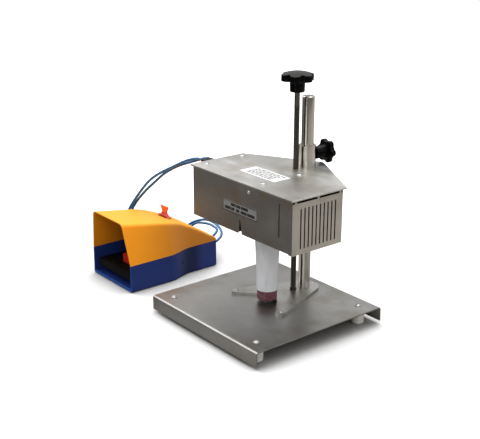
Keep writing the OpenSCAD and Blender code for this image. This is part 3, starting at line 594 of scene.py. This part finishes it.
# ---------------------------------------------------------------- knobs and screw
def lobe_outline(count, lobe_at, lobe_r, core_r, start_deg, steps, blur):
    """Radii round a lobed knob: the outermost of a core and its lobes, with soft hollows."""
    angles = [2 * math.pi * k / steps for k in range(steps)]
    radii = []
    for a in angles:
        best = core_r
        for j in range(count):
            d = (a - math.radians(start_deg + 360 * j / count) + math.pi) % (2 * math.pi) - math.pi
            reach = lobe_r ** 2 - (lobe_at * math.sin(d)) ** 2
            if reach > 0 and abs(d) < math.pi / 2:
                best = max(best, lobe_at * math.cos(d) + math.sqrt(reach))
        radii.append(best)
    spread = range(-blur, blur + 1)
    weights = [1 - abs(i) / (blur + 1) for i in spread]
    soft = [sum(radii[(k + i) % steps] * w for i, w in zip(spread, weights)) / sum(weights)
            for k in range(steps)]
    return angles, soft


def knob(node, origin, axis, levels, outline):
    """A moulded knob. levels are (height, share of the lobed outline, its scale, plain radius)."""
    angles, radii = outline
    side = Vector((1, 0, 0)) if abs(axis.z) > 0.9 else Vector((0, 0, 1))
    side = (side - axis * side.dot(axis)).normalized()
    up = axis.cross(side)
    rings = []
    for height, share, scale, plain in levels:
        ring = []
        for a, r in zip(angles, radii):
            reach = r * share * scale + plain * (1 - share)
            level = height(reach) if callable(height) else height
            ring.append(origin + axis * (level * MM)
                        + (side * math.cos(a) + up * math.sin(a)) * (reach * MM))
        rings.append(ring)
    return place(from_rings(node + "_moulding", rings), node + "_moulding", node, soft_deg=50)


def make_height_knob():
    low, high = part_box("height_knob")
    height, rim_r, hub_r = (high.z - low.z) / MM, 33.5, 15.2
    outline = lobe_outline(6, 21.2, 12.3, 24.2, 9, 216, 2)
    origin = Vector((centre("leadscrew").x, centre("leadscrew").y, low.z))

    def dome(reach):
        return height - 6.5 * (reach / rim_r) ** 2

    hub = [(0, 0, 1, 5.3), (0, 0, 1, hub_r - 1.6), (0.4, 0, 1, hub_r - 0.9), (1.4, 0, 1, hub_r - 0.5),
           (12, 0, 1, hub_r - 0.2), (20.6, 0, 1, hub_r), (21.5, 0, 1, hub_r + 0.4), (22, 0, 1, hub_r + 1.4)]
    rim = [(22, 1, 0.97, 0), (22.3, 1, 0.988, 0), (23, 1, 1, 0), (28, 1, 1, 0),
           (lambda reach: dome(reach) - 1.1, 1, 1, 0), (lambda reach: dome(reach) - 0.45, 1, 0.991, 0)]
    top = [(dome, 1, share, 0) for share in (0.972, 0.93, 0.85, 0.7, 0.52, 0.34, 0.17, 0.03)]
    knob("height_knob", origin, Vector((0, 0, 1)), hub + rim + top, outline)


def make_star_knob():
    turn = math.radians(3)
    axis = Vector((math.sin(turn), math.cos(turn), 0))
    origin = Vector((COLUMN_AXIS.x, COLUMN_AXIS.y, centre("clamp_screw").z))
    outline = lobe_outline(6, 18, 7.2, 20.5, 35, 216, 2)
    back = [(19.5, 0, 1, 4.05), (19.5, 0, 1, 12.0), (20.2, 0, 1, 12.7), (38, 0, 1, 12.8),
            (43, 0, 1, 12.9), (45.2, 0, 1, 13.3), (45.6, 0, 1, 14.2)]
    rim = [(45.6, 1, 0.94, 0), (45.9, 1, 0.975, 0), (46.8, 1, 1, 0), (50, 1, 1, 0), (54, 1, 1, 0),
           (55.6, 1, 0.985, 0), (56.4, 1, 0.95, 0), (56.6, 1, 0.90, 0)]
    face = [(56.6, 0.6, 0.8, 13.5), (56.4, 0, 1, 12.6), (55.6, 0, 1, 12.0), (55.2, 0, 1, 11), (55.2, 0, 1, 5),
            (55.4, 0, 1, 0.5)]
    knob("star_knob", origin, axis, back + rim + face, outline)


def make_leadscrew():
    """The long height screw: cut thread, a stop ring and the plain end under the knob."""
    low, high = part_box("leadscrew")
    x, y = centre("leadscrew").x, centre("leadscrew").y
    crest, root, pitch, sides = 5.7, 5.0, 1.5, 20
    journal_r, rod_r, ring_r = 4.0, 5.4, 5.6
    thread_from, thread_to = 47.3, 434.0
    bottom, top = low.z / MM, high.z / MM
    form = [(0.0, root), (0.25, root), (0.52, crest), (0.72, crest)]
    turns = int((thread_to - thread_from) / pitch) + 2
    points, faces = [], []
    rows = turns * len(form)
    for m in range(rows):
        share, radius = form[m % len(form)]
        for k in range(sides):
            z = thread_from + pitch * (m // len(form) + share + k / sides - 1)
            a = 2 * math.pi * k / sides
            z = min(thread_to, max(thread_from, z))
            points.append((x + radius * MM * math.cos(a), y + radius * MM * math.sin(a), z * MM))
    for m in range(rows - 1):
        for k in range(sides - 1):
            faces.append((m * sides + k, m * sides + k + 1, (m + 1) * sides + k + 1, (m + 1) * sides + k))
    for m in range(rows - 1 - len(form)):
        n = m + len(form)
        faces.append((m * sides + sides - 1, n * sides, (n + 1) * sides, (m + 1) * sides + sides - 1))
    core = root - 0.15
    plain = [(0, bottom), (journal_r - 0.5, bottom), (journal_r, bottom + 0.5),
             (journal_r, thread_from - 0.6), (core, thread_from), (core, thread_to),
             (ring_r - 0.4, thread_to), (ring_r, thread_to + 0.3), (ring_r, thread_to + 1.7),
             (ring_r - 0.3, thread_to + 2), (rod_r, thread_to + 2), (rod_r, top - 0.3), (0, top)]
    at = Vector((x, y, 0))
    bar = turned("bar", plain, at, 48)
    base = len(points)
    points += [tuple(v.co) for v in bar.vertices]
    faces += [tuple(base + i for i in p.vertices) for p in bar.polygons]
    bpy.data.meshes.remove(bar)
    mesh = bpy.data.meshes.new("leadscrew_thread")
    mesh.from_pydata(points, [], faces)
    tidy = bmesh.new()
    tidy.from_mesh(mesh)
    bmesh.ops.dissolve_degenerate(tidy, dist=2e-6, edges=tidy.edges)
    tidy.to_mesh(mesh)
    tidy.free()
    place(mesh, "leadscrew_thread", "leadscrew", soft_deg=28)


def make_column():
    radius, top = size("column").x / 2 / MM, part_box("column")[1].z / MM
    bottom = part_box("column")[0].z / MM
    chamfer = 1.5
    profile = [(0, bottom), (radius, bottom), (radius, top - chamfer), (radius - chamfer, top), (0, top)]
    place(turned("column_bar", rounded(profile, 0.35), machine(0, 0, 0), 96), "column_bar", "column")


# ---------------------------------------------------------------- tube, cap and nest
def make_tube():
    """A soft tube, round in its cap and flattened evenly towards the jaws."""
    low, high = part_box("sample_tube")
    radius, flat = 22.3, 0.6
    mid = centre("sample_tube")
    bottom, top, flat_z = low.z / MM, high.z / MM, 221.0
    rings = []
    for z in [bottom, bottom + 0.6] + [bottom + (flat_z - bottom) * k / 40 for k in range(1, 41)] + [
            flat_z + 10, flat_z + 20, top]:
        t = min(1.0, (z - bottom) / (flat_z - bottom))
        half = flat + (radius - flat) * (1 - t ** 2.2)
        d = radius - half
        wide = radius + d - (2 - math.pi / 2) * d * d / radius
        square = 1 + 0.35 * min(1, max(0, t - 0.15) * 1.6)
        ring = []
        for k in range(96):
            a = 2 * math.pi * k / 96
            c, s = math.cos(a), math.sin(a)
            ring.append(Vector((mid.x + half * MM * math.copysign(abs(c) ** (1 / square), c),
                                mid.y + wide * MM * s, z * MM)))
        rings.append(ring)
    place(from_rings("sample_tube_soft", rings), "sample_tube_soft", "sample_tube", soft_deg=50)


def make_cap():
    """Screw cap: ribbed skirt and rounded shoulder, flat on top."""
    low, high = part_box("tube_cap")
    mid, radius = centre("tube_cap"), size("tube_cap").x / 2 / MM
    bottom, top, ribs = low.z / MM, high.z / MM, 44
    profile = [(radius - 1.6, bottom), (radius - 0.5, bottom + 0.6), (radius, bottom + 1.8),
               (radius, top - 3), (radius - 0.2, top - 1.6), (radius - 0.8, top - 0.6), (radius - 2, top)]
    rings = []
    for r, z in [(0.01, bottom)] + profile + [(0.01, top)]:
        ring = []
        for k in range(ribs * 4):
            a = 2 * math.pi * k / (ribs * 4)
            dip = (0.0, 0.22, 0.45, 0.22)[k % 4] if bottom + 1 < z < top - 1 else 0.0
            reach = (r - dip) * MM
            ring.append(Vector((mid.x + reach * math.cos(a), mid.y + reach * math.sin(a), z * MM)))
        rings.append(ring)
    place(from_rings("tube_cap_ribbed", rings), "tube_cap_ribbed", "tube_cap", soft_deg=40)


# ---------------------------------------------------------------- labels
def plate_with_print(node, name, corner, across, up, out, bars, ink):
    """A thin label with raised print bars. bars are (x0, y0, x1, y1) shares of its face."""
    thick = 0.06 * MM
    build = bmesh.new()

    def slab(x0, y0, x1, y1, lift, height, index):
        corners = [corner + across * x + up * y + out * lift
                   for x, y in ((x0, y0), (x1, y0), (x1, y1), (x0, y1))]
        base = [build.verts.new(c) for c in corners]
        top = [build.verts.new(c + out * height) for c in corners]
        sides = [(base[k], base[(k + 1) % 4], top[(k + 1) % 4], top[k]) for k in range(4)]
        for loop in [tuple(reversed(base)), tuple(top)] + sides:
            build.faces.new(loop).material_index = index

    body = min(size(node))
    slab(0, 0, 1, 1, 0, body, 0)
    for bar in bars:
        slab(*bar, body - thick / 2, thick, 1)
    bmesh.ops.recalc_face_normals(build, faces=build.faces)
    mesh = bpy.data.meshes.new(name)
    build.to_mesh(mesh)
    build.free()
    return place(mesh, name, node, [MATERIALS[SLOT_OF[node]], ink])


def print_lines(left, right, low, high, rows, words, seed):
    """Generic bars in rows, like lines of unreadable print."""
    draw = np.random.default_rng(seed)
    bars = []
    pitch = (high - low) / rows
    for j in range(rows):
        y0 = low + pitch * (j + 0.22)
        x = left + (right - left) * draw.uniform(0.0, 0.12)
        end = right - (right - left) * draw.uniform(0.0, 0.12)
        for _ in range(words):
            width = (right - left) * draw.uniform(0.07, 0.16)
            if x + width > end:
                break
            bars.append((x, y0, x + width, y0 + pitch * 0.56))
            x += width + (right - left) * 0.022
    return bars


def make_labels():
    low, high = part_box("top_label")
    plate_with_print("top_label", "top_label_film", low.copy(), Vector((high.x - low.x, 0, 0)),
                     Vector((0, high.y - low.y, 0)), Vector((0, 0, 1)),
                     print_lines(0.06, 0.94, 0.10, 0.92, 5, 9, 7), PRINT_GREY)
    low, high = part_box("front_label")
    corner = Vector((low.x, high.y, low.z))
    rim = 1.5 * MM
    rim_x, rim_z = rim / (high.x - low.x), rim / (high.z - low.z)
    border = [(0, 0, 1, rim_z), (0, 1 - rim_z, 1, 1), (0, rim_z, rim_x, 1 - rim_z),
              (1 - rim_x, rim_z, 1, 1 - rim_z)]
    lines = [(0.24, 0.56, 0.38, 0.82), (0.395, 0.56, 0.52, 0.82), (0.535, 0.56, 0.74, 0.82),
             (0.06, 0.17, 0.23, 0.43), (0.245, 0.17, 0.35, 0.43), (0.39, 0.17, 0.49, 0.43),
             (0.53, 0.17, 0.70, 0.43), (0.715, 0.17, 0.93, 0.43)]
    plate_with_print("front_label", "front_label_plate", corner, Vector((high.x - low.x, 0, 0)),
                     Vector((0, 0, high.z - low.z)), Vector((0, -1, 0)), border + lines, PRINT_DARK)


# ---------------------------------------------------------------- foot valve cover
PEDAL_LEN, PEDAL_H = 245, 62.5
FRONT_HALF, REAR_HALF = 78.5, 62.5
JOG = (-140, -72)
COVER_WALL, COVER_LEAN, COVER_DRAFT, FRONT_Z = 2.6, 8, 0.208, 158
SLOT_X, SLOT_Y = 15.5, (-109, -89)


def half_width(y):
    t = max(0, min(1, (y - JOG[0]) / (JOG[1] - JOG[0])))
    return FRONT_HALF - (FRONT_HALF - REAR_HALF) * (1 - math.cos(math.pi * t)) / 2


def ridge(y):
    return FRONT_Z - 0.18 * (y + PEDAL_LEN + COVER_LEAN) - 0.00181 * max(0, y + 155) ** 2


def cover_arch(y, inset):
    """Points of one upright arch of the cover, from its right foot over to its left foot."""
    top = ridge(y) - inset
    corner = max(0.6, min(9.0, (top - PEDAL_H) * 0.45) - (2 if inset > 0 else 0))
    foot = half_width(y) - inset
    shoulder = foot - COVER_DRAFT * (top - PEDAL_H)
    half = []
    for k in range(7):
        z = PEDAL_H + (top - corner - PEDAL_H) * k / 6
        half.append((foot - COVER_DRAFT * (z - PEDAL_H), z))
    for k in range(1, 9):
        a = math.pi / 2 * k / 8
        half.append((shoulder - corner + corner * math.cos(a) + COVER_DRAFT * corner * (1 - math.sin(a)),
                     top - corner + corner * math.sin(a)))
    edge = half[-1][0]
    for k in range(1, 5):
        half.append((edge + (SLOT_X - edge) * k / 4, top))
    half += [(SLOT_X / 2, top), (0, top)]
    return half + [(-x, z) for x, z in reversed(half[:-1])]


def make_cover():
    """The yellow hood: a thin moulded shell, open in front, with a slot for the lock lever."""
    stations = [-PEDAL_LEN, -241] + [-237 + 4 * k for k in range(59)] + [-3, -1.2, 0]
    build = bmesh.new()

    def arch_row(y, inset):
        row = []
        for x, z in cover_arch(y, inset):
            lean = COVER_LEAN * (z - PEDAL_H) / (FRONT_Z - PEDAL_H) * (y / PEDAL_LEN) ** 2
            row.append(build.verts.new(pedal(x, y - lean, z)))
        return row

    outer = [arch_row(y, 0) for y in stations]
    inner = [arch_row(y, COVER_WALL) for y in stations if y < -4]
    count = len(outer[0])
    across = [x for x, _ in cover_arch(0, 0)]

    def cut_out(j, k):
        if not (0 <= j < len(inner) - 1 and 0 <= k < count - 1):
            return False
        between = SLOT_Y[0] - 0.1 < stations[j] and stations[j + 1] < SLOT_Y[1] + 0.1
        return between and abs(across[k] + across[k + 1]) / 2 < SLOT_X and 14 < k < count - 16

    for j in range(len(outer) - 1):
        for k in range(count - 1):
            if cut_out(j, k):
                continue
            build.faces.new((outer[j][k], outer[j][k + 1], outer[j + 1][k + 1], outer[j + 1][k]))
            if j < len(inner) - 1:
                build.faces.new((inner[j][k], inner[j + 1][k], inner[j + 1][k + 1], inner[j][k + 1]))
            if cut_out(j + 1, k) or cut_out(j - 1, k):
                n = j + 1 if cut_out(j + 1, k) else j
                build.faces.new((outer[n][k], outer[n][k + 1], inner[n][k + 1], inner[n][k]))
            if cut_out(j, k + 1) or cut_out(j, k - 1):
                n = k + 1 if cut_out(j, k + 1) else k
                build.faces.new((outer[j][n], outer[j + 1][n], inner[j + 1][n], inner[j][n]))
    for k in range(count - 1):
        build.faces.new((outer[0][k], inner[0][k], inner[0][k + 1], outer[0][k + 1]))
    for j in range(len(inner) - 1):
        build.faces.new((outer[j][0], outer[j + 1][0], inner[j + 1][0], inner[j][0]))
        build.faces.new((outer[j][-1], inner[j][-1], inner[j + 1][-1], outer[j + 1][-1]))
    build.faces.new(outer[-1])
    build.faces.new(tuple(reversed(inner[-1])))
    tail = outer[len(inner) - 1:]
    build.faces.new([row[0] for row in tail] + [row[-1] for row in reversed(tail)]
                    + [inner[-1][-1], inner[-1][0]])
    for x in (-18.25, 18.25):
        lug = bmesh.ops.create_cube(build, size=1)["verts"]
        for vert in lug:
            vert.co = pedal(x + vert.co.x * 4.5, -100 + vert.co.y * 10, 116.2 + vert.co.z * 14.5)
    bmesh.ops.recalc_face_normals(build, faces=build.faces)
    mesh = bpy.data.meshes.new("pedal_cover_hood")
    build.to_mesh(mesh)
    build.free()
    hood = place(mesh, "pedal_cover_hood", "pedal_cover", soft_deg=42)
    bevelled(hood, 0.6, 55)


def make_lock_lever():
    """Orange lever: a waisted flag that flares to a saddle over its slot."""
    pivot = pedal(0, -100, 115)
    outline = [(11.5, 22.0, 6.0), (12.6, 21.2, 5.6), (14.5, 17.0, 4.6), (16.5, 13.2, 3.6),
               (19, 10.4, 2.7), (22, 9.2, 2.3), (25, 9.6, 2.2), (28, 11.4, 2.2), (31, 13.4, 2.2),
               (34, 14.6, 2.1), (35.6, 14.8, 1.8), (36.2, 14.4, 1.2)]
    rings = []
    for z, half, thick in [(-24, 8, 2.4), (-6, 9, 2.4), (4, 11, 2.4), (11.2, 12, 2.4)] + outline:
        ring = []
        for k in range(48):
            a = 2 * math.pi * k / 48
            c, s = math.cos(a), math.sin(a)
            x = half * math.copysign(min(1, abs(c) ** 0.35), c)
            y = thick * math.copysign(min(1, abs(s) ** 0.6), s)
            slope = -0.3 * y if 11 < z < 16 else 0
            ring.append(pivot + Vector((x, y, z + slope)) * MM)
        rings.append(ring)
    mesh = from_rings("lever_body", rings)
    axle = turned("axle", [(0, -18.4), (2.6, -18.4), (3, -18), (3, 18), (2.6, 18.4), (0, 18.4)], pivot,
                  32, Vector((1, 0, 0)))
    build = bmesh.new()
    build.from_mesh(mesh)
    build.from_mesh(axle)
    build.to_mesh(mesh)
    build.free()
    bpy.data.meshes.remove(axle)
    place(mesh, "lock_lever_flag", "lock_lever", soft_deg=45)


def make_spring():
    low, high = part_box("treadle_spring")
    mid, turns, steps = centre("treadle_spring"), 5, 24
    path = [Vector((mid.x + 7 * MM * math.cos(2 * math.pi * k / steps),
                    mid.y + 7 * MM * math.sin(2 * math.pi * k / steps),
                    low.z + 0.8 * MM + (high.z - low.z - 1.6 * MM) * k / (turns * steps)))
            for k in range(turns * steps + 1)]
    mesh = from_rings("treadle_spring_coil", tube_rings(path, 0.8 * MM, 10))
    spring = place(mesh, "treadle_spring_coil", "treadle_spring")
    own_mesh(spring)


# ---------------------------------------------------------------- assembly
make_column()
make_leadscrew()
make_height_knob()
make_star_knob()
make_tube()
make_cap()
make_labels()
make_cover()
make_lock_lever()
make_spring()
MADE = {n for o in bpy.context.scene.objects for n in o.get("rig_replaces", [])}
EDGE_MM = {
    "base_plate": 0.5, "fixture_plate": 1.0, "top_plate": 0.6, "front_panel": 0, "side_panel": 0,
    "rear_cover": 0, "bottom_plate": 0, "rubber_feet": 1.0, "column_sleeve": 0.8,
    "pedal_base": 0.7, "treadle": 0.8, "toe_latch": 0.6, "tube_nest": 0.6, "port_tubes": 0,
    "jaw_cheeks": 0.6, "transformer": 0.8, "power_switch": 0.6, "time_dial": 0.6,
    "left_ribbon": 0.05, "right_ribbon": 0.05, "cutter_blade": 0.2,
}
LOOKS = {"treadle_pin": "pedal_blue"}
for cad_node in sorted(frame["nodes"]):
    if cad_node not in MADE:
        made = dressed(cad_node, EDGE_MM.get(cad_node, 0.3), material=MATERIALS.get(LOOKS.get(cad_node)))
        # The side panel's small faces that do not face out, the walls of its slots among them, take black
        # rubber: painted shade inside the slots.
        if cad_node == "side_panel":
            made.data.materials.append(MATERIALS["black_rubber"])
            for face in made.data.polygons:
                face.material_index = 0 if face.normal.x > 0.9 or face.area > 1e-3 else 1


# ---------------------------------------------------------------- stage and light
# Painted reflections: what the steel mirrors in the floor, a bearing from the column in degrees, and how
# light it is there
PAINTED_REFLECTION_TONES = [(-180, 0.25), (-129, 0.06), (-75, 0.06), (-55, 0.13), (-30, 0.05), (0, 0.05), (10, 0.95),
              (22, 0.95), (30, 0.10), (44, 0.10), (60, 0.34), (100, 0.42), (155, 0.55)]


def make_floor():
    """Pale paper, white far off, with a deeper painted shade close round what stands on it; to rays other
    than the camera's it shows painted reflections, darker and in bands by bearing from the column.
    """
    count, radius = 96, 3.5
    ring = [(radius * math.cos(2 * math.pi * k / count), radius * math.sin(2 * math.pi * k / count), 0)
            for k in range(count)]
    mesh = bpy.data.meshes.new("floor")
    mesh.from_pydata(ring, [], [tuple(range(count))])
    s = Surface("floor_paper", 0.9)
    paper = s.ramp(s.noise(300), (0.3, (0.90, 0.90, 0.90)), (0.7, (0.92, 0.92, 0.92)))
    seen = s.tree.nodes.new("ShaderNodeLightPath").outputs["Is Camera Ray"]
    x, y = (s.math("SUBTRACT", s.axis(name), at) for name, at in zip("XY", COLUMN_AXIS))
    bearing = s.math("ARCTAN2", x, s.math("MULTIPLY", y, -1.0))
    turn = s.math("ADD", s.math("DIVIDE", bearing, 2 * math.pi), 0.5)
    # Painted reflections: rays other than the camera's see these tones by bearing, and a darker grey close to
    # the column.
    room = s.ramp(turn, *((0.5 + degrees / 360, (tone, tone * 0.97, tone * 0.92))
                          for degrees, tone in PAINTED_REFLECTION_TONES))
    reach = s.math("SQRT", s.math("ADD", s.math("MULTIPLY", x, x), s.math("MULTIPLY", y, y)))
    other = s.mix(s.between(reach, 0.3, 0.5), (0.30, 0.29, 0.275), room)
    # Painted shade: the paper darkens close round what stands on it.
    shade = s.tree.nodes.new("ShaderNodeAmbientOcclusion")
    shade.samples = 6
    shade.inputs["Distance"].default_value = 0.1
    contact = s.mix(s.between(shade.outputs["AO"], 0.3, 0.95), (0.26, 0.255, 0.25), paper)
    s.colour(s.mix(seen, other, contact))
    away = s.tree.nodes.new("ShaderNodeVectorMath")
    away.operation = "LENGTH"
    s.link(s.place, away.inputs[0])
    s.shader.inputs["Emission Color"].default_value = (1, 1, 1, 1)
    s.link(s.math("MULTIPLY", seen, s.between(away.outputs["Value"], 0.55, 1.0, 0, 0.5)),
           s.shader.inputs["Emission Strength"])
    mesh.materials.append(s.material)
    floor = bpy.data.objects.new("floor", mesh)
    floor.location.z = -0.0004
    bpy.context.scene.collection.objects.link(floor)


def area_light(name, place_at, aim, power, width, depth):
    data = bpy.data.lights.new(name, "AREA")
    data.shape, data.size, data.size_y, data.energy = "RECTANGLE", width, depth, power
    light = bpy.data.objects.new(name, data)
    bpy.context.scene.collection.objects.link(light)
    light.location = place_at
    light.rotation_mode = "QUATERNION"
    light.rotation_quaternion = (Vector(aim) - Vector(place_at)).to_track_quat("-Z", "Y")


# Bright panels: azimuth and elevation they shine from, half width in degrees, strength
PANELS = [(150, 8, 18, 0.5), (20, 15, 12, 0.4), (294, 37, 17, 3.4), (95, 30, 16, 0.6)]


def make_world():
    """White behind the object; a softer room with a few bright panels for light and gloss."""
    world = bpy.data.worlds.new("studio")
    world.use_nodes = True
    bpy.context.scene.world = world
    tree = world.node_tree
    background = tree.nodes["Background"]
    direction = tree.nodes.new("ShaderNodeTexCoord").outputs["Generated"]
    split = tree.nodes.new("ShaderNodeSeparateXYZ")
    tree.links.new(direction, split.inputs["Vector"])
    up = tree.nodes.new("ShaderNodeMapRange")
    up.interpolation_type = "SMOOTHSTEP"
    for socket, value in (("From Min", -0.15), ("From Max", 0.9), ("To Min", 0.2), ("To Max", 1.25)):
        up.inputs[socket].default_value = value
    tree.links.new(split.outputs["Z"], up.inputs["Value"])
    total = up.outputs["Result"]
    for azimuth, elevation, width, strength in PANELS:
        a, e = math.radians(azimuth), math.radians(elevation)
        dot = tree.nodes.new("ShaderNodeVectorMath")
        dot.operation = "DOT_PRODUCT"
        dot.inputs[1].default_value = (math.sin(a) * math.cos(e), -math.cos(a) * math.cos(e), math.sin(e))
        tree.links.new(direction, dot.inputs[0])
        lobe = tree.nodes.new("ShaderNodeMapRange")
        lobe.interpolation_type = "SMOOTHSTEP"
        edge = math.cos(math.radians(width))
        for socket, value in (("From Min", edge), ("From Max", (1 + edge) / 2),
                              ("To Min", 0), ("To Max", strength)):
            lobe.inputs[socket].default_value = value
        tree.links.new(dot.outputs["Value"], lobe.inputs["Value"])
        add = tree.nodes.new("ShaderNodeMath")
        tree.links.new(total, add.inputs[0])
        tree.links.new(lobe.outputs["Result"], add.inputs[1])
        total = add.outputs["Value"]
    seen = tree.nodes.new("ShaderNodeLightPath").outputs["Is Camera Ray"]
    pick = tree.nodes.new("ShaderNodeMix")
    tree.links.new(seen, pick.inputs["Factor"])
    tree.links.new(total, pick.inputs["A"])
    pick.inputs["B"].default_value = 1.05
    tree.links.new(pick.outputs["Result"], background.inputs["Strength"])
    background.inputs["Color"].default_value = (1, 1, 1, 1)


make_floor()
make_world()
area_light("top_panel", machine(-150, 100, 1500), machine(-60, -120, 0), 12, 1.3, 1.0)
area_light("front_panel_light", machine(900, -1300, 1300), machine(0, -100, 150), 6, 0.9, 0.9)
view = bpy.context.scene.view_settings
view.view_transform, view.look, view.exposure, view.gamma = "Standard", "None", 0, 1
